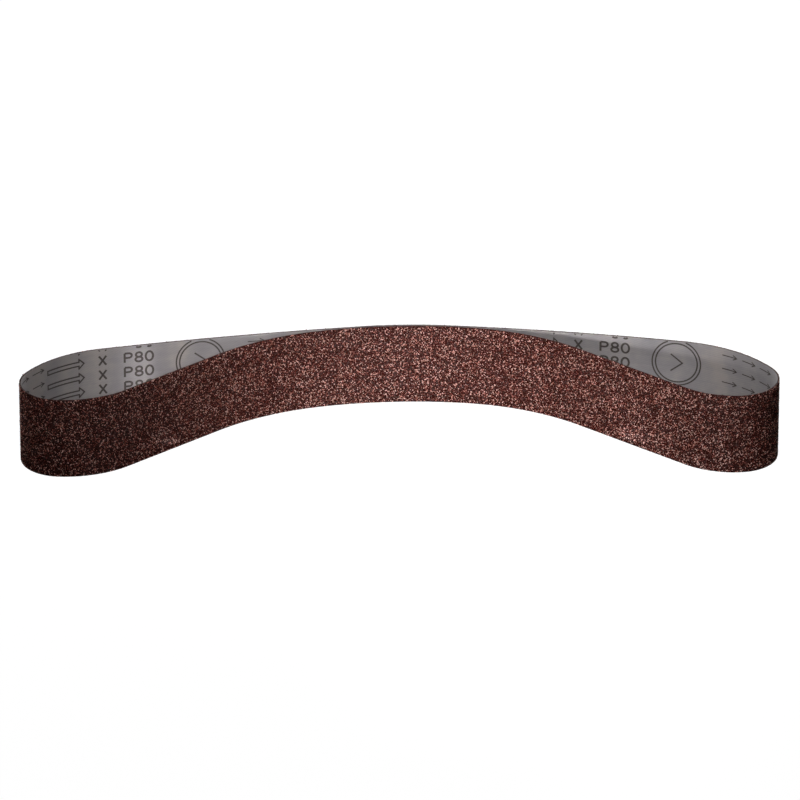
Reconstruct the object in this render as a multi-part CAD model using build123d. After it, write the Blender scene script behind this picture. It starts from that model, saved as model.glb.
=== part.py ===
from build123d import *
import math
import os

# Endless cloth sanding belt, grit P80, 50 x 1020 mm, standing free on one edge. Its two runs lean
# together in the middle, so from above the loop is a crescent with a wide round bend at each end.
# The cloth is inside and the grain outside. Millimetres: X along the belt, Y towards the back run,
# Z up across the belt's width. The origin is under the middle of the loop's box, on the lower edge.

# ---- driving dimensions ----
belt_length = 1020.0  # inner length of the loop, the size that a belt is sold by
belt_width = 50.0

cloth_thickness = 0.60  # heavy X weight cloth with its front and back fillers
make_coat_thickness = 0.12  # resin that bonds the grain to the cloth
grain_thickness = 0.28  # one layer of P80 crystals, about 0.2 mm each
size_coat_thickness = 0.10  # resin over and between the crystals

splice_angle = 65.0  # degrees between the joint's line and the belt's edge
splice_gap = 0.30  # space between the two cut ends, filled with adhesive
tape_width = 20.0  # measured square to the joint's line
tape_thickness = 0.15

cloth_face = cloth_thickness
bond_face = cloth_face + make_coat_thickness
grain_face = bond_face + grain_thickness
belt_face = grain_face + size_coat_thickness

# The line of the cloth's inner face, seen from above, is run clockwise from the middle of the back
# run. Each bend is (radius, turn in degrees), and a clockwise turn is negative. The two flanks of
# the front run are straight, and their lengths follow from closing the loop. The radii are then
# scaled together, by under 1%, to bring the loop to its length.
FLANK = "straight flank"
BENDS = [
    (220, -5.5),  # right half of the back run's crown
    (1090, -7.5),  # back run, nearly straight
    (79, -45),  # right shoulder
    (23.5, -117),  # right end bend
    (44, -45.5),  # right end, easing into the front run
    FLANK,
    (130, 32),  # front run bows in towards the back run
    (235, 21.5),  # front run's middle, closest to the back run
    (144, 28),
    FLANK,
    (55, -45.5),  # left end, easing out of the front run
    (23.5, -117.5),  # left end bend
    (69, -44.5),  # left shoulder
    (1500, -6),  # back run, nearly straight
    (220, -7.5),  # left half of the back run's crown
]


# ---- the belt's line ----
def cross(a, b):
    """Cross product of two plane vectors written as complex numbers."""
    return (a.conjugate() * b).imag


def solve_line(bends):
    """Length of each flank, and the factor that brings the loop to belt_length."""
    heading = 1 + 0j
    reach = 0j
    arc_length = 0.0
    flank_headings = []
    for bend in bends:
        if bend == FLANK:
            flank_headings.append(heading)
            continue
        radius, turn = bend
        turned = heading * complex(math.cos(math.radians(turn)), math.sin(math.radians(turn)))
        reach += math.copysign(radius, turn) * 1j * (heading - turned)
        arc_length += radius * abs(math.radians(turn))
        heading = turned
    first, second = flank_headings
    flanks = [
        cross(-reach, second) / cross(first, second),
        cross(first, -reach) / cross(first, second),
    ]
    return flanks, belt_length / (arc_length + sum(flanks))


FLANK_LENGTHS, LINE_SCALE = solve_line(BENDS)


def loop_face(outward):
    """Flat face inside the belt's line, with the line moved outward from the cloth's inner face."""
    edges = []
    point = Vector(0, outward)
    heading = Vector(1, 0)
    flank_lengths = iter(FLANK_LENGTHS)
    for bend in BENDS:
        if bend == FLANK:
            edge = Line(point, point + heading * next(flank_lengths) * LINE_SCALE)
        else:
            radius, turn = bend
            # outside lies left of the way round, so a clockwise bend widens as it moves outward
            offset_radius = radius * LINE_SCALE - math.copysign(outward, turn)
            edge = JernArc(point, heading, offset_radius, turn)
        edges.append(edge)
        point = edge @ 1
        heading = edge % 1
    return make_face(edges)


def band(inner, outer):
    """Closed band of the belt between two distances from the cloth's inner face."""
    return extrude(loop_face(outer) - loop_face(inner), amount=belt_width)


def across_splice(width, inward):
    """Slab along the joint's slanting line, from outside the back run to a depth inside it."""
    lean = Rot(0, 90 - splice_angle, 0)
    outward = 2 * belt_face
    slab = Box(width, outward + inward, 2 * belt_width)
    return Pos(0, (outward - inward) / 2, belt_width / 2) * lean * slab


def on_back_run(shape):
    """The one solid of the shape that lies furthest back."""
    return shape.solids().sort_by(Axis.Y)[-1]


# ---- the pieces, from the inside out ----
gap_slab = across_splice(splice_gap, inward=0.42)  # through the cloth, short of the front run
tape_slab = across_splice(tape_width, inward=4.0)  # deep enough for the back run's curve
pieces = {
    "backing_cloth": band(0, cloth_face) - gap_slab,
    "make_coat": band(cloth_face, bond_face) - gap_slab,
    "abrasive_grain": band(bond_face, grain_face) - gap_slab,
    "size_coat": band(grain_face, belt_face) - gap_slab,
    "splice_bond": on_back_run(band(0, belt_face) & gap_slab),
    "splice_tape": on_back_run(band(-tape_thickness, 0) & tape_slab),
}

# ---- the belt stands centred over the origin ----
outline = loop_face(belt_face).bounding_box()
to_origin = Pos(-outline.center().X, -outline.center().Y, 0)

os.makedirs("parts", exist_ok=True)
for name, piece in pieces.items():
    placed = to_origin * piece
    export_step(placed, f"parts/{name}.step")
    print(name, len(placed.solids()), "solid", round(placed.volume), "mm3")
print("flanks", [round(length * LINE_SCALE, 1) for length in FLANK_LENGTHS], "scale", LINE_SCALE)
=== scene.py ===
"""Looks of an endless cloth sanding belt, P80, standing free on one edge.

The belt is a laminate: filled cotton and polyester cloth inside, phenolic resin, and a close coat of
brown aluminium oxide crystals outside, joined at one slanting splice. Sizes below are millimetres
unless a comment says metres. Finished meshes are in metres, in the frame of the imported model.
"""

import math
import random

import bmesh
import bpy
import numpy as np
from mathutils import Euler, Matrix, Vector


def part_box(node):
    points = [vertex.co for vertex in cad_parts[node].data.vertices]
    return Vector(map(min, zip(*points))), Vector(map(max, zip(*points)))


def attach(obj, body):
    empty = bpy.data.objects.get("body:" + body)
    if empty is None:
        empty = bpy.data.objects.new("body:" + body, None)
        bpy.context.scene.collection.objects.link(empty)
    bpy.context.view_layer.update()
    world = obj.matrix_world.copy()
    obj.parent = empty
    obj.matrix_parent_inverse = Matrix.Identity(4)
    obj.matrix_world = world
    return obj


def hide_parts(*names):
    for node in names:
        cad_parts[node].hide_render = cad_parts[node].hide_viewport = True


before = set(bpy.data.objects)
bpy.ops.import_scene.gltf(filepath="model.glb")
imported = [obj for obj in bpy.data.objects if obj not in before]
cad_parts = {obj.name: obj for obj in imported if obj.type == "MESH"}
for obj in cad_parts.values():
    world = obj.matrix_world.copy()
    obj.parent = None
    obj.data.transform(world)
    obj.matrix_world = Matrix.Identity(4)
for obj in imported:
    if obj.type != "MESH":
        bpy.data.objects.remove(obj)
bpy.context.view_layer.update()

MM = 0.001

# ---- the belt's sizes, as in its CAD source ----
BELT_LENGTH = 1020.0
BELT_WIDTH = 50.0
CLOTH_FACE = 0.60  # distances outward from the cloth's inner face
BOND_FACE = 0.72
BELT_FACE = 1.10
SPLICE_ANGLE = 65.0
SPLICE_GAP = 0.30
TAPE_WIDTH = 20.0
TAPE_THICKNESS = 0.15
THREAD_PITCH = 1.5  # the tape's reinforcing threads

# Cross lines of the belt's meshes lean with the splice this near to it, and stand upright this far off.
LEAN_NEAR = 30.0
UPRIGHT_FROM = 90.0

# The line of the cloth's inner face, run clockwise from the splice in the middle of the back run:
# each bend is (radius, turn in degrees), clockwise negative, and the flanks are straight.
FLANK = "straight flank"
BENDS = [
    (220, -5.5),
    (1090, -7.5),
    (79, -45),
    (23.5, -117),
    (44, -45.5),
    FLANK,
    (130, 32),
    (235, 21.5),
    (144, 28),
    FLANK,
    (55, -45.5),
    (23.5, -117.5),
    (69, -44.5),
    (1500, -6),
    (220, -7.5),
]

# ---- how the coat and the slit edges are drawn ----
# P80 crystals are about 0.2 mm across. Half a million of them would pass the limit on triangles and
# merge into a flat tone, so they are drawn about 1 mm across, and as thick as the real coat.
CRYSTAL_SPACING = 0.69
CRYSTAL_SIZES = (0.7, 1.15)
CRYSTAL_KINDS = 8
CRYSTAL_FACE = 0.88  # the crystals' middles, just inside the size coat's face
GRAIN_PANELS = 8
BED_FACE = 0.90  # the size coat's skin between the crystals
LUMP_WIDTH = 1.1
LUMP_HEIGHT = 0.5

# Cut yarn ends, up to about 1 mm long, along both slit edges.
FIBRE_SPACING = 0.9
FIBRE_SIZES = (0.35, 1.0)
FIBRE_KINDS = 4


# ---- the belt's line ----
def cross(a, b):
    """Cross product of two plane vectors written as complex numbers."""
    return (a.conjugate() * b).imag


def unit(degrees):
    return complex(math.cos(math.radians(degrees)), math.sin(math.radians(degrees)))


def solve_line(bends):
    """Length of each flank, and the factor that brings the loop to its length."""
    heading, reach, arc_length, flank_headings = 1 + 0j, 0j, 0.0, []
    for bend in bends:
        if bend == FLANK:
            flank_headings.append(heading)
            continue
        radius, turn = bend
        turned = heading * unit(turn)
        reach += math.copysign(radius, turn) * 1j * (heading - turned)
        arc_length += radius * abs(math.radians(turn))
        heading = turned
    first, second = flank_headings
    flanks = [
        cross(-reach, second) / cross(first, second),
        cross(first, -reach) / cross(first, second),
    ]
    return flanks, BELT_LENGTH / (arc_length + sum(flanks))


def trace_line(step=0.25):
    """Distance along the belt, point and heading in radians, at close steps round the loop."""
    flanks, scale = solve_line(BENDS)
    flanks = iter(flanks)
    along, points, headings = [], [], []
    point, angle, travelled = 0j, 0.0, 0.0
    for bend in BENDS:
        radius, turn = (math.inf, 0.0) if bend == FLANK else bend
        length = (next(flanks) if bend == FLANK else radius * abs(math.radians(turn))) * scale
        part = np.linspace(0, 1, math.ceil(length / step) + 1)
        turned = math.radians(turn) * part
        if bend == FLANK:
            reach = length * part * np.exp(1j * angle)
        else:
            centre_side = math.copysign(radius * scale, turn) * 1j
            reach = centre_side * np.exp(1j * angle) * (1 - np.exp(1j * turned))
        along.append(travelled + length * part)
        points.append(point + reach)
        headings.append(angle + turned)
        point, angle, travelled = point + reach[-1], angle + math.radians(turn), travelled + length
    return np.concatenate(along), np.concatenate(points), np.concatenate(headings)


LINE_ALONG, LINE_POINTS, LINE_HEADINGS = trace_line()


def centre_line():
    """Shift, as a complex number, that puts the line's outer face where the CAD size coat is."""
    outer = LINE_POINTS + BELT_FACE * 1j * np.exp(1j * LINE_HEADINGS)
    low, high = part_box("size_coat")
    middle = (low + high) / 2 / MM
    x = (outer.real.min() + outer.real.max()) / 2
    y = (outer.imag.min() + outer.imag.max()) / 2
    return complex(middle.x - x, middle.y - y)


LINE_SHIFT = centre_line()


def on_belt(along, height, outward):
    """Points in metres on the belt: along it from the splice, up from its lower edge, and out from
    the cloth's inner face. Takes arrays of one shape."""
    wrapped = np.mod(along, BELT_LENGTH)
    x = np.interp(wrapped, LINE_ALONG, LINE_POINTS.real)
    y = np.interp(wrapped, LINE_ALONG, LINE_POINTS.imag)
    heading = np.interp(wrapped, LINE_ALONG, LINE_HEADINGS)
    point = x + 1j * y + LINE_SHIFT + outward * 1j * np.exp(1j * heading)
    return np.stack([point.real, point.imag, height + 0 * point.real], axis=-1) * MM


def joint_lean(height):
    """How far along the belt the splice's line lies at a height, from its place at mid width."""
    return (height - BELT_WIDTH / 2) / math.tan(math.radians(SPLICE_ANGLE))


def leaning(along, height):
    """Along-distance of a cross line that leans with the splice near it and is upright elsewhere."""
    from_joint = np.minimum(along, BELT_LENGTH - along)
    lean_share = np.clip((UPRIGHT_FROM - from_joint) / (UPRIGHT_FROM - LEAN_NEAR), 0, 1)
    return along + joint_lean(height) * lean_share


# ---- meshes ----
def mesh_object(name, vertices, faces, smooth=False):
    """Object at the origin. A smooth one keeps edges sharp where faces meet at over 40 degrees."""
    mesh = bpy.data.meshes.new(name)
    mesh.from_pydata([tuple(v) for v in np.reshape(vertices, (-1, 3))], [], faces)
    mesh.update()
    if smooth:
        mesh.shade_smooth()
        mesh.set_sharp_from_angle(angle=math.radians(40))
    made = bpy.data.objects.new(name, mesh)
    bpy.context.scene.collection.objects.link(made)
    return made


def swept_band(name, profile, start, end, step, jitter=None):
    """Closed band with a cross-section profile of (outward, height) points, anticlockwise as seen
    looking back along the belt, swept between two distances from the splice and capped."""
    rows = math.ceil((end - start) / step) + 1
    outward = np.array([p[0] for p in profile])[None, :] + np.zeros((rows, 1))
    height = np.array([p[1] for p in profile])[None, :] + np.zeros((rows, 1))
    if jitter:
        height = height + jitter(height)
    along = np.linspace(start, end, rows)[:, None] + 0 * height
    # A band that starts before the joint lies across it, and all of it leans as the joint does.
    along = along + joint_lean(height) if start < 0 else leaning(along, height)
    points = on_belt(along, height, outward)
    count = len(profile)
    faces = []
    for row in range(rows - 1):
        for k in range(count):
            here, there = row * count, (row + 1) * count
            nxt = (k + 1) % count
            faces.append((here + k, here + nxt, there + nxt, there + k))
    faces.append(tuple(reversed(range(count))))
    faces.append(tuple(range((rows - 1) * count, rows * count)))
    made = mesh_object(name, points, faces, smooth=True)
    add_belt_map(made, along, height)
    return made


def add_belt_map(made, along, height):
    """UV map in metres: along the belt, and up across its width."""
    mesh = made.data
    layer = mesh.uv_layers.new(name="belt_map")
    corner = np.zeros(len(mesh.loops), np.int32)
    mesh.loops.foreach_get("vertex_index", corner)
    flat = np.stack([along.reshape(-1), height.reshape(-1)], axis=-1) * MM
    layer.data.foreach_set("uv", flat[corner].astype(np.float32).reshape(-1))


def plain_mesh(made, name):
    """The object under its final name, with its modifiers turned into a plain mesh."""
    graph = bpy.context.evaluated_depsgraph_get()
    mesh = bpy.data.meshes.new_from_object(made.evaluated_get(graph))
    mesh.name = name
    old = made.data
    made.modifiers.clear()
    made.data = mesh
    made.name = name
    bpy.data.meshes.remove(old)
    return made


def finish_piece(piece, slot, *nodes):
    """Rides the piece on the belt's body and hides the CAD nodes that it stands for. The slot is not
    used.
    """
    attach(piece, "root")
    if nodes:
        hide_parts(*nodes)


# ---- nodes and materials ----
def linear(colour):
    """Linear RGBA from an sRGB hex colour."""
    parts = [int(colour[i : i + 2], 16) / 255 for i in (0, 2, 4)]
    return [p / 12.92 if p <= 0.04045 else ((p + 0.055) / 1.055) ** 2.4 for p in parts] + [1.0]


def add_node(tree, kind, settings=None, inputs=None, steps=()):
    """Adds a node with its settings, and fills its inputs: a socket is linked, a value is set. The
    steps of a colour ramp are (position, hex colour), from low to high."""
    made = tree.nodes.new(kind)
    for name, value in (settings or {}).items():
        setattr(made, name, value)
    for key, value in (inputs or {}).items():
        if isinstance(value, bpy.types.NodeSocket):
            tree.links.new(value, made.inputs[key])
        else:
            made.inputs[key].default_value = value
    for number, (position, colour) in enumerate(steps):
        elements = made.color_ramp.elements
        step = elements[number] if number < len(elements) else elements.new(position)
        step.position = position
        step.color = linear(colour)
    return made


def new_material(name, **surface):
    """Material with a Principled surface whose constants are set on its own sockets."""
    made = bpy.data.materials.new(name)
    made.use_nodes = True
    shader = made.node_tree.nodes["Principled BSDF"]
    for key, value in surface.items():
        shader.inputs[key.replace("_", " ")].default_value = value
    return made, made.node_tree, shader


def filled_twill_cloth():
    """X weight cotton and polyester twill with a grey filler bladed into its back: matte and smooth,
    in soft lighter, warmer and darker, cooler bands across the belt, partly painted light and shade
    and partly tint, with a trace of the weave."""
    made, tree, shader = new_material(
        "filled_twill_cloth", IOR=1.5, Specular_IOR_Level=0.35, Sheen_Weight=0.15, Sheen_Roughness=0.5
    )
    belt_map = add_node(tree, "ShaderNodeUVMap", {"uv_map": "belt_map"}).outputs["UV"]
    # Twill lines of this cloth are 0.5 mm apart, too fine to show, so they are drawn at 1.3 mm. A
    # wave texture of scale 1 has a wave every 2 pi / 20.
    twill_pitch = 1.3 * MM
    twill_angle = math.radians(63)
    turned = add_node(
        tree, "ShaderNodeMapping", inputs={"Vector": belt_map, "Rotation": (0, 0, twill_angle)}
    ).outputs["Vector"]
    twill = add_node(
        tree,
        "ShaderNodeTexWave",
        {"wave_profile": "SIN"},
        {
            "Vector": turned,
            "Scale": 2 * math.pi / twill_pitch / 20,
            "Distortion": 0.6,
            "Detail": 1.0,
            "Detail Scale": 0.7,
        },
    ).outputs["Fac"]
    mottle = add_node(
        tree,
        "ShaderNodeTexNoise",
        inputs={"Vector": belt_map, "Scale": 1 / (9 * MM), "Detail": 4.0, "Roughness": 0.6},
    ).outputs["Fac"]
    # Bands of painted light and shade, with a warm and cool tint, lie across the belt, 20 mm or so wide,
    # and blade streaks run along it.
    across = add_node(
        tree,
        "ShaderNodeMapping",
        inputs={"Vector": belt_map, "Scale": (1 / (22 * MM), 1 / (160 * MM), 1)},
    ).outputs["Vector"]
    shade_and_tint_bands = add_node(
        tree, "ShaderNodeTexNoise", inputs={"Vector": across, "Scale": 1.0, "Detail": 1.5}
    ).outputs["Fac"]
    along = add_node(
        tree,
        "ShaderNodeMapping",
        inputs={"Vector": belt_map, "Scale": (1 / (60 * MM), 1 / (1.2 * MM), 1)},
    ).outputs["Vector"]
    streaks = add_node(
        tree, "ShaderNodeTexNoise", inputs={"Vector": along, "Scale": 1.0, "Detail": 3.0}
    ).outputs["Fac"]
    cloudy = add_node(
        tree, "ShaderNodeMix", {"data_type": "FLOAT"}, {"Factor": 0.35, "A": mottle, "B": streaks}
    ).outputs["Result"]
    tone = add_node(
        tree, "ShaderNodeMix", {"data_type": "FLOAT"}, {"Factor": 0.1, "A": cloudy, "B": twill}
    ).outputs["Result"]
    # Half of the cloth's tone is the bands of painted light and shade.
    banded = add_node(
        tree, "ShaderNodeMix", {"data_type": "FLOAT"}, {"Factor": 0.5, "A": tone, "B": shade_and_tint_bands}
    ).outputs["Result"]
    colour = add_node(
        tree,
        "ShaderNodeValToRGB",
        inputs={"Fac": banded},
        steps=[(0.36, "8f8b8e"), (0.50, "9d9899"), (0.64, "b0a7a3")],
    ).outputs["Color"]
    tree.links.new(colour, shader.inputs["Base Color"])
    rough = add_node(
        tree, "ShaderNodeMapRange", inputs={"Value": cloudy, "To Min": 0.5, "To Max": 0.78}
    ).outputs["Result"]
    tree.links.new(rough, shader.inputs["Roughness"])
    relief = add_node(
        tree, "ShaderNodeMix", {"data_type": "FLOAT"}, {"Factor": 0.35, "A": twill, "B": streaks}
    ).outputs["Result"]
    bump = add_node(
        tree, "ShaderNodeBump", inputs={"Height": relief, "Strength": 0.2, "Distance": 0.05 * MM}
    ).outputs["Normal"]
    tree.links.new(bump, shader.inputs["Normal"])
    return made


def slit_cloth_edge():
    """The cloth where it was slit: cut yarns, dark brown with resin and dust, and darker still as
    painted shade, so the lit edge reads as if in shadow, with no gloss.
    """
    made, tree, shader = new_material(
        "slit_cloth_edge", Roughness=0.92, IOR=1.5, Specular_IOR_Level=0.15
    )
    place = add_node(tree, "ShaderNodeTexCoord").outputs["Object"]
    # Yarns lie about 0.4 mm apart and are drawn at 0.7 mm.
    yarns = add_node(
        tree,
        "ShaderNodeTexNoise",
        inputs={"Vector": place, "Scale": 1 / (0.7 * MM), "Detail": 2.0, "Roughness": 0.6},
    ).outputs["Fac"]
    # These dark browns are partly resin stain and partly painted shade on the slit edges.
    colour = add_node(
        tree,
        "ShaderNodeValToRGB",
        inputs={"Fac": yarns},
        steps=[(0.35, "241512"), (0.55, "3c2b27"), (0.75, "5c4c46")],
    ).outputs["Color"]
    tree.links.new(colour, shader.inputs["Base Color"])
    return made


def brown_aluminium_oxide():
    """Fused brown aluminium oxide, broken to a close range of sizes: glassy crystals from near black
    through red-brown to a dusty pinkish tan, so that each one is its own tone beside the next."""
    made, tree, shader = new_material("brown_aluminium_oxide", IOR=1.76, Specular_IOR_Level=0.3)
    shade = add_node(tree, "ShaderNodeAttribute", {"attribute_name": "shade"}).outputs["Fac"]
    place = add_node(tree, "ShaderNodeTexCoord").outputs["Object"]
    veins = add_node(
        tree,
        "ShaderNodeTexNoise",
        inputs={"Vector": place, "Scale": 1 / (0.5 * MM), "Detail": 2.0, "Roughness": 0.7},
    ).outputs["Fac"]
    tone = add_node(
        tree, "ShaderNodeMix", {"data_type": "FLOAT"}, {"Factor": 0.2, "A": shade, "B": veins}
    ).outputs["Result"]
    colour = add_node(
        tree,
        "ShaderNodeValToRGB",
        inputs={"Fac": tone},
        steps=[(0.16, "2a0c08"), (0.38, "47150e"), (0.52, "843c31"), (0.66, "bb7b6d"), (0.84, "dfb4a9")],
    ).outputs["Color"]
    tree.links.new(colour, shader.inputs["Base Color"])
    rough = add_node(
        tree, "ShaderNodeMapRange", inputs={"Value": veins, "To Min": 0.28, "To Max": 0.55}
    ).outputs["Result"]
    tree.links.new(rough, shader.inputs["Roughness"])
    return made


def phenolic_resin(name, dark, light, gloss):
    """Cured phenolic resin with red-brown pigment: dense, faintly glossy, lumpy where it pooled."""
    made, tree, shader = new_material(name, IOR=1.6, Specular_IOR_Level=0.1)
    place = add_node(tree, "ShaderNodeTexCoord").outputs["Object"]
    pools = add_node(
        tree,
        "ShaderNodeTexNoise",
        inputs={"Vector": place, "Scale": 1 / (1.4 * MM), "Detail": 4.0, "Roughness": 0.65},
    ).outputs["Fac"]
    colour = add_node(
        tree,
        "ShaderNodeValToRGB",
        inputs={"Fac": pools},
        steps=[(0.35, dark), (0.68, light)],
    ).outputs["Color"]
    tree.links.new(colour, shader.inputs["Base Color"])
    rough = add_node(
        tree, "ShaderNodeMapRange", inputs={"Value": pools, "To Min": gloss, "To Max": gloss + 0.25}
    ).outputs["Result"]
    tree.links.new(rough, shader.inputs["Roughness"])
    bump = add_node(
        tree, "ShaderNodeBump", inputs={"Height": pools, "Strength": 0.5, "Distance": 0.1 * MM}
    ).outputs["Normal"]
    tree.links.new(bump, shader.inputs["Normal"])
    return made


def printing_ink():
    """Flat dark grey printing ink, rolled thin on cloth, so it is a little starved and uneven."""
    made, tree, shader = new_material("printing_ink", IOR=1.5, Specular_IOR_Level=0.3)
    belt_map = add_node(tree, "ShaderNodeUVMap", {"uv_map": "belt_map"}).outputs["UV"]
    starved = add_node(
        tree,
        "ShaderNodeTexNoise",
        inputs={"Vector": belt_map, "Scale": 1 / (0.9 * MM), "Detail": 3.0, "Roughness": 0.7},
    ).outputs["Fac"]
    colour = add_node(
        tree,
        "ShaderNodeValToRGB",
        inputs={"Fac": starved},
        steps=[(0.35, "4a4441"), (0.62, "5b5552"), (0.80, "706a67")],
    ).outputs["Color"]
    tree.links.new(colour, shader.inputs["Base Color"])
    rough = add_node(
        tree, "ShaderNodeMapRange", inputs={"Value": starved, "To Min": 0.6, "To Max": 0.85}
    ).outputs["Result"]
    tree.links.new(rough, shader.inputs["Roughness"])
    return made


def splice_film():
    """Polyester film tape with glass threads, wetted through by its adhesive: hazy grey-brown, satin,
    ribbed along the belt by the threads."""
    made, tree, shader = new_material("polyester_film_tape", IOR=1.57, Specular_IOR_Level=0.5)
    belt_map = add_node(tree, "ShaderNodeUVMap", {"uv_map": "belt_map"}).outputs["UV"]
    stretched = add_node(
        tree,
        "ShaderNodeMapping",
        inputs={"Vector": belt_map, "Scale": (1 / (8 * MM), 1 / (THREAD_PITCH * MM), 1)},
    ).outputs["Vector"]
    haze = add_node(
        tree, "ShaderNodeTexNoise", inputs={"Vector": stretched, "Scale": 1.0, "Detail": 2.0}
    ).outputs["Fac"]
    colour = add_node(
        tree,
        "ShaderNodeValToRGB",
        inputs={"Fac": haze},
        steps=[(0.35, "776f66"), (0.65, "968d82")],
    ).outputs["Color"]
    tree.links.new(colour, shader.inputs["Base Color"])
    rough = add_node(
        tree, "ShaderNodeMapRange", inputs={"Value": haze, "To Min": 0.28, "To Max": 0.45}
    ).outputs["Result"]
    tree.links.new(rough, shader.inputs["Roughness"])
    return made


def cut_yarn():
    """Cotton and polyester fibre ends, stained brown by the resin: soft, with no gloss."""
    made, tree, shader = new_material(
        "cut_yarn_ends", Roughness=0.9, IOR=1.5, Specular_IOR_Level=0.2, Sheen_Weight=0.4
    )
    place = add_node(tree, "ShaderNodeTexCoord").outputs["Object"]
    stain = add_node(
        tree, "ShaderNodeTexNoise", inputs={"Vector": place, "Scale": 1 / (3 * MM), "Detail": 2.0}
    ).outputs["Fac"]
    colour = add_node(
        tree,
        "ShaderNodeValToRGB",
        inputs={"Fac": stain},
        steps=[(0.35, "40302c"), (0.65, "6b5c56")],
    ).outputs["Color"]
    tree.links.new(colour, shader.inputs["Base Color"])
    return made


# ---- the pieces ----
def rough_slit(height):
    """How far the points on the two slit edges wander in from the belt's width."""
    deepest = 0.12
    wander = deepest * np.random.default_rng(3).uniform(-1, 0, height.shape)
    return wander * (height == BELT_WIDTH) - wander * (height == 0)


def make_cloth():
    """Backing cloth: a 0.6 mm band with finely divided faces and unevenly slit edges."""
    across_edge = (0.15, 0.30, 0.45)
    inner = [(0.0, h) for h in np.linspace(BELT_WIDTH, 0, 27)]
    lower = [(o, 0.0) for o in across_edge]
    outer = [(CLOTH_FACE, h) for h in np.linspace(0, BELT_WIDTH, 9)]
    upper = [(o, BELT_WIDTH) for o in reversed(across_edge)]
    cloth = swept_band(
        "backing_cloth_weave",
        inner + lower + outer + upper,
        SPLICE_GAP / 2,
        BELT_LENGTH - SPLICE_GAP / 2,
        step=1.5,
        jitter=rough_slit,
    )
    cloth.data.materials.append(filled_twill_cloth())
    cloth.data.materials.append(slit_cloth_edge())
    count = len(inner + lower + outer + upper)
    # The slit edge faces take the edge material: resin stain with painted shade.
    slit = np.zeros(count, np.int32)
    slit[len(inner) - 1 : len(inner) + len(lower)] = 1
    slit[count - len(upper) - 1 :] = 1
    rows = len(cloth.data.vertices) // count
    slots = np.append(np.tile(slit, rows - 1), [1, 1])  # both caps are slit as well
    cloth.data.polygons.foreach_set("material_index", slots.astype(np.int32))
    finish_piece(cloth, "backing_cloth", "backing_cloth")


def make_tape():
    """Splice tape: thin film on the cloth's inner face, ribbed by the threads that run through it."""
    rib_height = 0.04
    half_ribs = 2 * round(BELT_WIDTH / THREAD_PITCH)
    ribbed = [
        (-TAPE_THICKNESS + rib_height * (k % 2), BELT_WIDTH * (1 - k / half_ribs))
        for k in range(half_ribs + 1)
    ]
    glued = [(0.0, 0.0), (0.0, BELT_WIDTH)]
    half = TAPE_WIDTH / 2 / math.sin(math.radians(SPLICE_ANGLE))
    tape = swept_band("splice_tape_ribbed", ribbed + glued, -half, half, step=1.0)
    tape.data.materials.append(splice_film())
    finish_piece(tape, "splice_tape", "splice_tape")


def new_tree(name, **inputs):
    """Geometry Nodes tree with geometry in and out, and a named input of each kind asked for."""
    tree = bpy.data.node_groups.new(name, "GeometryNodeTree")
    tree.interface.new_socket("Geometry", in_out="INPUT", socket_type="NodeSocketGeometry")
    for key, kind in inputs.items():
        tree.interface.new_socket(
            key.replace("_", " "), in_out="INPUT", socket_type=f"NodeSocket{kind}"
        )
    tree.interface.new_socket("Geometry", in_out="OUTPUT", socket_type="NodeSocketGeometry")
    return tree, add_node(tree, "NodeGroupInput").outputs


def run_tree(made, tree, name, **values):
    """Runs a Geometry Nodes tree on an object with its named inputs, and keeps the plain mesh."""
    modifier = made.modifiers.new(tree.name, "NODES")
    modifier.node_group = tree
    for item in tree.interface.items_tree:
        key = item.name.replace(" ", "_")
        if item.in_out == "INPUT" and key in values:
            modifier[item.identifier] = values[key]
    return plain_mesh(made, name)


def lumps_tree():
    """Geometry Nodes: pushes the marked face of a band in and out along its normal by noise."""
    tree, given = new_tree("resin_lumps", Lump_width="Float", Lump_height="Float", Finish="Material")
    per_metre = add_node(
        tree, "ShaderNodeMath", {"operation": "DIVIDE"}, {0: 1.0, 1: given["Lump width"]}
    ).outputs[0]
    noise = add_node(
        tree, "ShaderNodeTexNoise", inputs={"Scale": per_metre, "Detail": 3.0, "Roughness": 0.6}
    ).outputs["Fac"]
    centred = add_node(
        tree, "ShaderNodeMath", {"operation": "SUBTRACT"}, {0: noise, 1: 0.5}
    ).outputs[0]
    mask = add_node(
        tree, "GeometryNodeInputNamedAttribute", {"data_type": "FLOAT"}, {"Name": "lumpy"}
    ).outputs["Attribute"]
    masked = add_node(
        tree, "ShaderNodeMath", {"operation": "MULTIPLY"}, {0: centred, 1: mask}
    ).outputs[0]
    push = add_node(
        tree, "ShaderNodeMath", {"operation": "MULTIPLY"}, {0: masked, 1: given["Lump height"]}
    ).outputs[0]
    offset = add_node(
        tree,
        "ShaderNodeVectorMath",
        {"operation": "SCALE"},
        {0: add_node(tree, "GeometryNodeInputNormal").outputs["Normal"], "Scale": push},
    ).outputs[0]
    moved = add_node(
        tree, "GeometryNodeSetPosition", inputs={"Geometry": given["Geometry"], "Offset": offset}
    ).outputs["Geometry"]
    real = add_node(
        tree, "GeometryNodeRealizeInstances", inputs={"Geometry": moved}
    ).outputs["Geometry"]
    done = add_node(
        tree, "GeometryNodeSetMaterial", inputs={"Geometry": real, "Material": given["Finish"]}
    ).outputs["Geometry"]
    add_node(tree, "NodeGroupOutput", inputs={"Geometry": done})
    return tree


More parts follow.
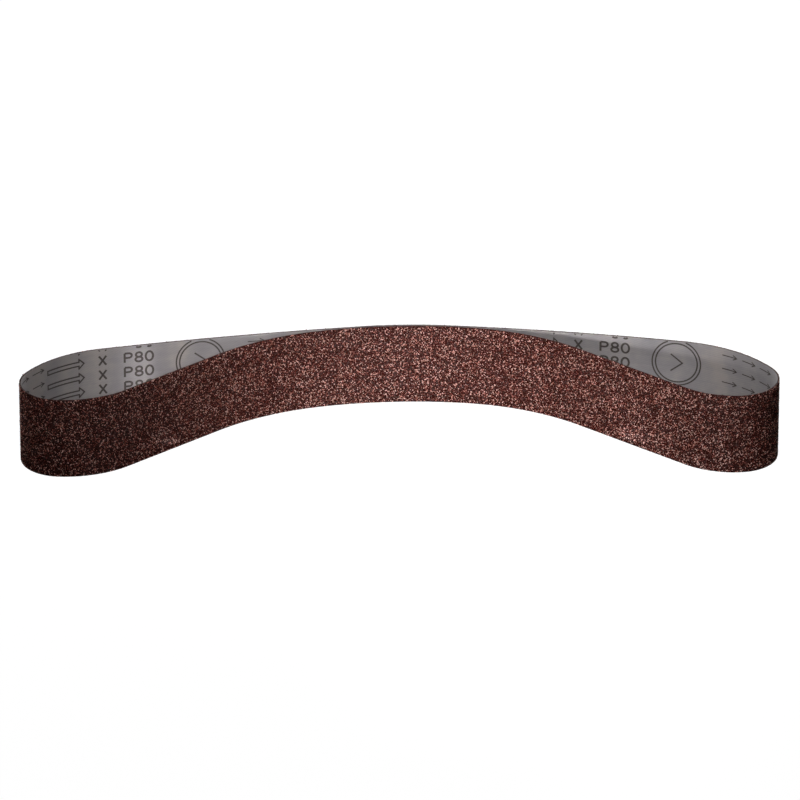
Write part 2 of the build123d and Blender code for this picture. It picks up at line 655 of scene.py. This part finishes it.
def make_resin_bed():
    """Size coat: resin between the crystals, a lumpy skin over the make coat."""
    short_of_edge = 0.02
    sunk_face = BOND_FACE - 0.06  # the bed's inner face, sunk in the make coat
    top = BELT_WIDTH - short_of_edge
    outer = [(BED_FACE, h) for h in np.linspace(short_of_edge, top, 60)]
    inner = [(sunk_face, top), (sunk_face, short_of_edge)]
    bed = swept_band(
        "size_coat_blank", inner + outer, SPLICE_GAP / 2, BELT_LENGTH - SPLICE_GAP / 2, step=0.8
    )
    marks = bed.data.attributes.new("lumpy", "FLOAT", "POINT")
    rows = len(bed.data.vertices) // (len(inner) + len(outer))
    marks.data.foreach_set("value", np.tile([0.0] * len(inner) + [1.0] * len(outer), rows))
    bed = run_tree(
        bed,
        lumps_tree(),
        "size_coat_bed",
        Lump_width=LUMP_WIDTH * MM,
        Lump_height=LUMP_HEIGHT * MM,
        Finish=phenolic_resin("phenolic_size_resin", "230906", "3a120c", 0.5),
    )
    finish_piece(bed, "size_resin", "size_coat")


def crystal_shapes():
    """Collection of broken crystal shapes, about 1 across: hulls with a dozen or so sharp facets."""
    shapes = bpy.data.collections.new("crystal_shapes")
    corners = 9
    flatness = 0.8
    draw = random.Random(80)
    for kind in range(CRYSTAL_KINDS):
        long_side = draw.uniform(1.0, 1.5)
        work = bmesh.new()
        for _ in range(corners):
            direction = Vector([draw.gauss(0, 1) for _ in range(3)]).normalized()
            reach = direction * draw.uniform(0.38, 0.5)
            work.verts.new((reach.x * long_side, reach.y, reach.z * flatness))
        hull = bmesh.ops.convex_hull(work, input=work.verts)
        spare = [e for e in hull["geom_interior"] if isinstance(e, bmesh.types.BMVert)]
        bmesh.ops.delete(work, geom=spare, context="VERTS")
        bmesh.ops.recalc_face_normals(work, faces=work.faces)
        mesh = bpy.data.meshes.new(f"crystal_{kind}")
        work.to_mesh(mesh)
        work.free()
        shapes.objects.link(bpy.data.objects.new(f"crystal_{kind}", mesh))
    return shapes


def strewing_tree():
    """Geometry Nodes: strews small pieces over a sheet, each turned, sized and shaded at random, and
    trims them to a lower and an upper edge."""
    tree, given = new_tree(
        "strewn_pieces",
        Pieces="Collection",
        Kinds="Int",
        Spacing="Float",
        Smallest="Float",
        Largest="Float",
        Lower_edge="Float",
        Upper_edge="Float",
        Seed="Int",
        Finish="Material",
    )
    tilt = 0.45  # radians either way from square to the sheet
    offered = 3.0e6  # points per square metre, more than the spacing lets stay
    strewn = add_node(
        tree,
        "GeometryNodeDistributePointsOnFaces",
        {"distribute_method": "POISSON"},
        {
            "Mesh": given["Geometry"],
            "Distance Min": given["Spacing"],
            "Density Max": offered,
            "Seed": given["Seed"],
        },
    ).outputs
    tumble = add_node(
        tree,
        "FunctionNodeRandomValue",
        {"data_type": "FLOAT_VECTOR"},
        {"Min": (-tilt, -tilt, 0.0), "Max": (tilt, tilt, 2 * math.pi), "Seed": given["Seed"]},
    ).outputs["Value"]
    turn = add_node(tree, "FunctionNodeEulerToRotation", inputs={"Euler": tumble}).outputs["Rotation"]
    lie = add_node(
        tree,
        "FunctionNodeRotateRotation",
        {"rotation_space": "LOCAL"},
        {"Rotation": strewn["Rotation"], "Rotate By": turn},
    ).outputs["Rotation"]
    # Size, kind and shade are drawn apart, each from a seed of its own.
    size_seed, kind_seed, shade_seed = [
        add_node(tree, "ShaderNodeMath", {"operation": "ADD"}, {0: given["Seed"], 1: apart}).outputs[0]
        for apart in (100.0, 200.0, 300.0)
    ]
    size = add_node(
        tree,
        "FunctionNodeRandomValue",
        {"data_type": "FLOAT"},
        {"Min": given["Smallest"], "Max": given["Largest"], "Seed": size_seed},
    ).outputs["Value"]
    last_kind = add_node(
        tree, "ShaderNodeMath", {"operation": "SUBTRACT"}, {0: given["Kinds"], 1: 1.0}
    ).outputs[0]
    kind = add_node(
        tree,
        "FunctionNodeRandomValue",
        {"data_type": "INT"},
        {"Min": 0, "Max": last_kind, "Seed": kind_seed},
    ).outputs["Value"]
    shapes = add_node(
        tree,
        "GeometryNodeCollectionInfo",
        inputs={"Collection": given["Pieces"], "Separate Children": True, "Reset Children": True},
    ).outputs["Instances"]
    placed = add_node(
        tree,
        "GeometryNodeInstanceOnPoints",
        inputs={
            "Points": strewn["Points"],
            "Instance": shapes,
            "Pick Instance": True,
            "Instance Index": kind,
            "Rotation": lie,
            "Scale": size,
        },
    ).outputs["Instances"]
    shade = add_node(
        tree, "FunctionNodeRandomValue", {"data_type": "FLOAT"}, {"Seed": shade_seed}
    ).outputs["Value"]
    shaded = add_node(
        tree,
        "GeometryNodeStoreNamedAttribute",
        {"data_type": "FLOAT", "domain": "INSTANCE"},
        {"Geometry": placed, "Name": "shade", "Value": shade},
    ).outputs["Geometry"]
    real = add_node(
        tree, "GeometryNodeRealizeInstances", inputs={"Geometry": shaded}
    ).outputs["Geometry"]
    parts = add_node(
        tree,
        "ShaderNodeSeparateXYZ",
        inputs={0: add_node(tree, "GeometryNodeInputPosition").outputs["Position"]},
    ).outputs
    level = add_node(
        tree,
        "ShaderNodeClamp",
        inputs={"Value": parts["Z"], "Min": given["Lower edge"], "Max": given["Upper edge"]},
    ).outputs["Result"]
    trimmed = add_node(
        tree, "ShaderNodeCombineXYZ", inputs={"X": parts["X"], "Y": parts["Y"], "Z": level}
    ).outputs["Vector"]
    slit = add_node(
        tree, "GeometryNodeSetPosition", inputs={"Geometry": real, "Position": trimmed}
    ).outputs["Geometry"]
    done = add_node(
        tree, "GeometryNodeSetMaterial", inputs={"Geometry": slit, "Material": given["Finish"]}
    ).outputs["Geometry"]
    add_node(tree, "NodeGroupOutput", inputs={"Geometry": done})
    return tree


def grain_sheet(name, start, end):
    """Single sheet facing outward, that crystals are strewn on."""
    step = 2.0
    short_of_edge = 0.25
    rows = math.ceil((end - start) / step) + 1
    height = np.linspace(short_of_edge, BELT_WIDTH - short_of_edge, 26)[None, :] + np.zeros((rows, 1))
    along = leaning(np.linspace(start, end, rows)[:, None] + 0 * height, height)
    points = on_belt(along, height, CRYSTAL_FACE)
    count = height.shape[1]
    faces = [
        (r * count + k, r * count + k + 1, (r + 1) * count + k + 1, (r + 1) * count + k)
        for r in range(rows - 1)
        for k in range(count - 1)
    ]
    return mesh_object(name, points, faces)


def make_grain(tree):
    """The close coat of crystals, in panels round the belt to keep each mesh light."""
    shapes = crystal_shapes()
    finish = brown_aluminium_oxide()
    clear_of_joint = 0.95
    past_edge = 0.5  # crystals stand this far above the upper edge
    ends = np.linspace(clear_of_joint, BELT_LENGTH - clear_of_joint, GRAIN_PANELS + 1)
    for number, (start, end) in enumerate(zip(ends[:-1], ends[1:]), 1):
        panel = run_tree(
            grain_sheet(f"grain_sheet_{number}", start, end),
            tree,
            f"grain_panel_{number}",
            Pieces=shapes,
            Kinds=CRYSTAL_KINDS,
            Spacing=CRYSTAL_SPACING * MM,
            Smallest=CRYSTAL_SIZES[0] * MM,
            Largest=CRYSTAL_SIZES[1] * MM,
            Lower_edge=0.0,
            Upper_edge=(BELT_WIDTH + past_edge) * MM,
            Seed=number,
            Finish=finish,
        )
        finish_piece(panel, "abrasive_grain", "abrasive_grain")


# ---- the print on the cloth ----
# The print repeats along the belt, each group in rows across the width. It is generic: the grit
# grade, the cross for the cloth's weight, a double ring, and arrows for the running direction.
PRINT_START = -221.4  # the first group, from the splice
PRINT_PERIOD = 285.0
PRINT_GROUPS = 4
TOP_ROW = 51.75  # this row is cut through by the upper edge
ROW_PITCH = 9.35
ROW_COUNT = 6
GLYPH_HEIGHT = 6.0
INK_THICKNESS = 0.03


def bow(centre, reach, begin, finish, count=12):
    """Points on an elliptic arc: centre, (half width, half height), and angles in degrees."""
    return [
        (centre[0] + reach[0] * math.cos(angle), centre[1] + reach[1] * math.sin(angle))
        for angle in np.radians(np.linspace(begin, finish, count))
    ]


def grade_strokes():
    """P80 in single strokes, drawn 17 mm wide and centred on mid height."""
    half = GLYPH_HEIGHT / 2
    quarter = GLYPH_HEIGHT / 4
    eight, nought = 8.6, 14.9  # their middles, from the upright of the P
    return [
        [(0, -half), (0, half)],
        [(0, half), (2.4, half)] + bow((2.4, quarter), (1.9, quarter), 90, -90) + [(0, 0)],
        bow((eight, quarter), (1.8, quarter), -90, 270, 20),
        bow((eight, -quarter), (2.1, quarter), 90, 450, 20),
        bow((nought, 0), (2.2, half), 0, 360, 28),
    ]


def cross_strokes():
    """X, the letter for this weight of cloth."""
    high = GLYPH_HEIGHT / 2
    wide = 2.2
    return [[(-wide, -high), (wide, high)], [(-wide, high), (wide, -high)]]


def arrow_strokes():
    """Outlined block arrow that points along the belt's running direction."""
    length, head, shaft = 25, 3.2, 1.3
    neck = length - head
    upper_half = [(0, shaft), (neck, shaft), (neck, head)]
    lower_half = [(x, -y) for x, y in upper_half]
    return [lower_half + [(length, 0)] + upper_half[::-1] + lower_half[:1]]


def ring_strokes():
    """Double ring with a chevron in it."""
    outer, inner = 14.6, 12.6
    chevron = [(-3.5, 5.5), (3.5, 0), (-3.5, -5.5)]
    return [bow((0, 0), (outer, outer), 0, 360, 72), bow((0, 0), (inner, inner), 0, 360, 64), chevron]


def small_arrow_strokes():
    """Three small arrows in a row."""
    length, barb, pitch = 10, 2.8, 14
    strokes = []
    for start in (0, pitch, 2 * pitch):
        tip = start + length
        strokes.append([(start, 0), (tip, 0)])
        strokes.append([(tip - barb, 1.5), (tip, 0), (tip - barb, -1.5)])
    return strokes


def close_steps(stroke, step=0.8):
    """The stroke's points with more between them, so that it bends with the belt."""
    points = [np.array(stroke[0], float)]
    for corner in stroke[1:]:
        corner = np.array(corner, float)
        parts = math.ceil(np.linalg.norm(corner - points[-1]) / step - 1e-6)
        begin = points[-1]
        points += [begin + (corner - begin) * k / parts for k in range(1, parts + 1)]
    return np.array(points)


def within_width(points, margin):
    """Runs of the points that stay on the belt's width."""
    inside = (points[:, 1] > margin) & (points[:, 1] < BELT_WIDTH - margin)
    runs, begun = [], None
    for k, here in enumerate(list(inside) + [False]):
        if here and begun is None:
            begun = k
        if not here and begun is not None:
            if k - begun > 1:
                runs.append(points[begun:k])
            begun = None
    return runs


def ink_ribbon(points, width):
    """Flat ribbon round a run of points: left and right edge points, widened at its corners, with
    limits that keep the sharpest corners from flaring."""
    closed = np.linalg.norm(points[0] - points[-1]) < 0.01
    steps = np.diff(points, axis=0)
    steps /= np.linalg.norm(steps, axis=1)[:, None]
    before = np.vstack([steps[-1:] if closed else steps[:1], steps])
    after = np.vstack([steps, steps[:1] if closed else steps[-1:]])
    middle = before + after
    middle /= np.maximum(np.linalg.norm(middle, axis=1), 0.3)[:, None]
    side = np.stack([-middle[:, 1], middle[:, 0]], axis=1)
    stretch = 1 / np.maximum(np.sum(before * middle, axis=1), 0.6)
    reach = side * stretch[:, None] * width / 2
    return points + reach, points - reach


def print_marks(name, strokes, places, width, finish):
    """One inked piece: the strokes repeated at (along, height) places, as thin closed ribbons on
    the cloth's inner face."""
    vertices, faces, flat_along, flat_height = [], [], [], []
    depth = np.array([0.0, 0.0, -INK_THICKNESS, -INK_THICKNESS])
    for place in places:
        for stroke in strokes:
            for run in within_width(close_steps(stroke) + np.array(place), width / 2):
                left, right = ink_ribbon(run, width)
                base, count = len(vertices), len(run)
                ring = np.stack([left, right, right, left], axis=1)
                outward = depth[None, :] + np.zeros((count, 1))
                vertices += list(on_belt(ring[..., 0], ring[..., 1], outward).reshape(-1, 3))
                flat_along += list(ring[..., 0].reshape(-1))
                flat_height += list(ring[..., 1].reshape(-1))
                for k in range(count - 1):
                    for side in range(4):
                        a, b = base + 4 * k + side, base + 4 * k + (side + 1) % 4
                        faces.append((a, a + 4, b + 4, b))
                faces.append((base, base + 1, base + 2, base + 3))
                last = base + 4 * (count - 1)
                faces.append((last + 3, last + 2, last + 1, last))
    made = mesh_object(name, np.array(vertices), faces)
    add_belt_map(made, np.array(flat_along), np.array(flat_height))
    made.data.materials.append(finish)
    finish_piece(made, "print_ink")


def make_print():
    """Four groups of marks, whose ends stay clear of the splice tape and of each other."""
    finish = printing_ink()
    rows = [TOP_ROW - ROW_PITCH * k for k in range(ROW_COUNT)]
    arrow_rows = [45.7 - 8.8 * k for k in range(ROW_COUNT)]
    # Name, strokes, distance from the group's start, heights across the belt, and line width.
    marks = [
        ("print_run_arrows", arrow_strokes(), 0, rows, 0.9),
        ("print_weight_crosses", cross_strokes(), 36.5, rows, 1.2),
        ("print_grit_grade", grade_strokes(), 49.8, rows, 1.25),
        ("print_double_rings", ring_strokes(), 95.5, [35.8], 0.9),
        ("print_small_arrows", small_arrow_strokes(), 124, arrow_rows, 0.6),
    ]
    for name, strokes, offset, heights, width in marks:
        starts = [PRINT_START + PRINT_PERIOD * k + offset for k in range(PRINT_GROUPS)]
        print_marks(name, strokes, [(s, h) for s in starts for h in heights], width, finish)


# ---- the slit edges ----
def edge_strip(name, outwards, heights):
    """Narrow sheet round the belt that fibres grow from, square to it. It stops short of the joint."""
    step = 2.0
    clear_of_joint = 1.0
    rows = math.ceil(BELT_LENGTH / step)
    outward = np.array(outwards)[None, :] + np.zeros((rows, 1))
    height = np.array(heights)[None, :] + np.zeros((rows, 1))
    along = np.linspace(clear_of_joint, BELT_LENGTH - clear_of_joint, rows)[:, None] + 0 * height
    faces = [(2 * r, 2 * r + 2, 2 * r + 3, 2 * r + 1) for r in range(rows - 1)]
    return mesh_object(name, on_belt(leaning(along, height), height, outward), faces)


def fibre_shapes():
    """Collection of curved fibre ends, 1 long: three-sided tapering tubes."""
    shapes = bpy.data.collections.new("fibre_shapes")
    draw = random.Random(12)
    root_radius = 0.05
    taper = 0.7
    lengths = 3
    for kind in range(FIBRE_KINDS):
        lean = Vector((draw.uniform(-0.5, 0.5), draw.uniform(-0.5, 0.5), 0))
        vertices, faces = [], []
        for level in range(lengths + 1):
            part = level / lengths
            centre = lean * part * part + Vector((0, 0, part))
            for side in range(3):
                angle = math.radians(120 * side)
                radius = root_radius * (1 - taper * part)
                vertices.append(centre + Vector((math.cos(angle), math.sin(angle), 0)) * radius)
        for level in range(lengths):
            for side in range(3):
                a, b = level * 3 + side, level * 3 + (side + 1) % 3
                faces.append((a, b, b + 3, a + 3))
        faces += [(2, 1, 0), (9, 10, 11)]
        mesh = bpy.data.meshes.new(f"fibre_{kind}")
        mesh.from_pydata(vertices, [], faces)
        shapes.objects.link(bpy.data.objects.new(f"fibre_{kind}", mesh))
    return shapes


def make_fibres(tree):
    """Fibre ends left by the slitting knives: bedded in the cut of the upper edge, and standing
    inwards just over the lower one, because the belt stands on it."""
    shapes = fibre_shapes()
    finish = cut_yarn()
    just_below_edge = BELT_WIDTH - 0.05
    strips = [
        ("fibres_upper_edge", (0.5, 0.1), (just_below_edge, just_below_edge)),
        ("fibres_lower_edge", (0.02, 0.02), (0.2, 0.9)),
    ]
    for seed, (name, outwards, heights) in enumerate(strips, 40):
        fibres = run_tree(
            edge_strip(name + "_strip", outwards, heights),
            tree,
            name,
            Pieces=shapes,
            Kinds=FIBRE_KINDS,
            Spacing=FIBRE_SPACING * MM,
            Smallest=FIBRE_SIZES[0] * MM,
            Largest=FIBRE_SIZES[1] * MM,
            Lower_edge=0.03 * MM,  # just clear of the floor
            Upper_edge=(BELT_WIDTH + 1.5) * MM,
            Seed=seed,
            Finish=finish,
        )
        finish_piece(fibres, "backing_cloth")


# ---- camera, lights and floor ----
# The camera stands far off with a long lens, so the belt's two upright ends look nearly parallel.
VIEW_ELEVATION = 26.55  # degrees above the floor
VIEW_TURN = 0.533  # degrees to the side
VIEW_DISTANCE = 5.005  # metres
VIEW_LENS = 382.0
VIEW_AIM = Vector((0.53, -1.2, 25.3)) * MM

# Soft square lights: name, place and aim (mm), size (mm), spread (degrees), power (W). The two named
# below lie just over the floor inside the ends, for the light that a real floor would send up there.
LIGHTS = [
    ("overhead_right", (120, -100, 600), (120, 0, 25), 120, 40, 0.258),
    ("overhead_left", (-300, -100, 400), (-100, 0, 25), 120, 40, 0.117),
    ("front_low", (30, -700, 150), (30, 0, 25), 60, 26, 0.083),
    ("front_near", (100, -250, 35), (60, 0, 25), 60, 180, 0.206),
    ("front_left", (-80, -600, 350), (-80, 0, 25), 60, 26, 0.036),
    ("front_right", (130, -700, 150), (130, 0, 25), 60, 44, 0.040),
    ("inside_left", (-115, -5, 145), (-118, 0, 25), 60, 180, 0.052),
    ("left_end", (-180, -10, 170), (-160, 0, 25), 60, 180, 0.006),
    ("right_end", (180, -10, 170), (180, 0, 25), 60, 180, 0.022),
    ("band_left", (-153, -42, 200), (-153, 23, 35), 8, 8, 0.0008),
    ("below_left", (-145, -4, 2), (-145, 0, 25), 30, 180, 0.003),
    ("below_right", (145, -4, 2), (145, 0, 25), 30, 180, 0.0075),
    ("behind_left", (-450, 700, 350), (-100, 0, 25), 400, 120, 1.2),
    ("behind_right", (450, 700, 350), (100, 0, 25), 400, 120, 1.2),
]
SKY_STRENGTH = 0.006
FLOOR_REACH = 8.0  # metres
FLOOR_GLOW = 0.99
FLOOR_GREY = 0.08


def beam(name, place, aim, size, spread, power):
    """Soft square light over a patch of the belt."""
    lamp = bpy.data.lights.new(name, "AREA")
    lamp.size = size * MM
    lamp.spread = math.radians(spread)
    lamp.energy = power
    made = bpy.data.objects.new(name, lamp)
    made.location = Vector(place) * MM
    made.rotation_euler = (Vector(aim) * MM - made.location).to_track_quat("-Z", "Y").to_euler()
    made.visible_camera = False
    bpy.context.scene.collection.objects.link(made)


def make_stage():
    """Plain white floor that glows faintly short of white, so only a trace of shadow is left on it,
    and that doesn't light the belt from below."""
    finish, _, _ = new_material(
        "white_floor",
        Base_Color=(FLOOR_GREY, FLOOR_GREY, FLOOR_GREY, 1),
        Roughness=0.9,
        Specular_IOR_Level=0.0,
        Emission_Color=(1, 1, 1, 1),
        Emission_Strength=FLOOR_GLOW,
    )
    sides = [(-1, -1, 0), (1, -1, 0), (1, 1, 0), (-1, 1, 0)]
    floor = mesh_object("floor", FLOOR_REACH * np.array(sides), [(0, 1, 2, 3)])
    floor.data.materials.append(finish)
    floor.visible_diffuse = False
    floor.visible_glossy = False


def make_lights():
    """The square lights, and a faint even light from all round."""
    for light in LIGHTS:
        beam(*light)
    world = bpy.data.worlds.new("studio")
    world.use_nodes = True
    background = world.node_tree.nodes["Background"]
    background.inputs["Color"].default_value = (1, 1, 1, 1)
    background.inputs["Strength"].default_value = SKY_STRENGTH
    bpy.context.scene.world = world


def make_camera():
    """The scene's camera, looking at the aim from the front and above."""
    lens = bpy.data.cameras.new("camera")
    lens.lens = VIEW_LENS
    lens.sensor_width = 36.0
    lens.clip_end = 50.0
    made = bpy.data.objects.new("camera", lens)
    turn = Euler((math.radians(90 - VIEW_ELEVATION), 0, math.radians(-VIEW_TURN)))
    made.rotation_euler = turn
    back = turn.to_matrix() @ Vector((0, 0, 1))
    made.location = VIEW_AIM + back * VIEW_DISTANCE
    bpy.context.scene.collection.objects.link(made)
    bpy.context.scene.camera = made


def finish_cad_nodes():
    """Materials for the two nodes that are carried over: the make coat and the splice's adhesive."""
    for node, finish in (
        ("make_coat", phenolic_resin("phenolic_make_resin", "241110", "3f1f1b", 0.45)),
        ("splice_bond", phenolic_resin("polyurethane_splice_adhesive", "3a2418", "5e4330", 0.4)),
    ):
        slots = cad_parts[node].data.materials
        slots.clear()
        slots.append(finish)


make_camera()
make_lights()
make_stage()
make_cloth()
make_tape()
make_resin_bed()
strewing = strewing_tree()
make_grain(strewing)
make_fibres(strewing)
make_print()
finish_cad_nodes()

bpy.context.scene.view_settings.view_transform = "Standard"
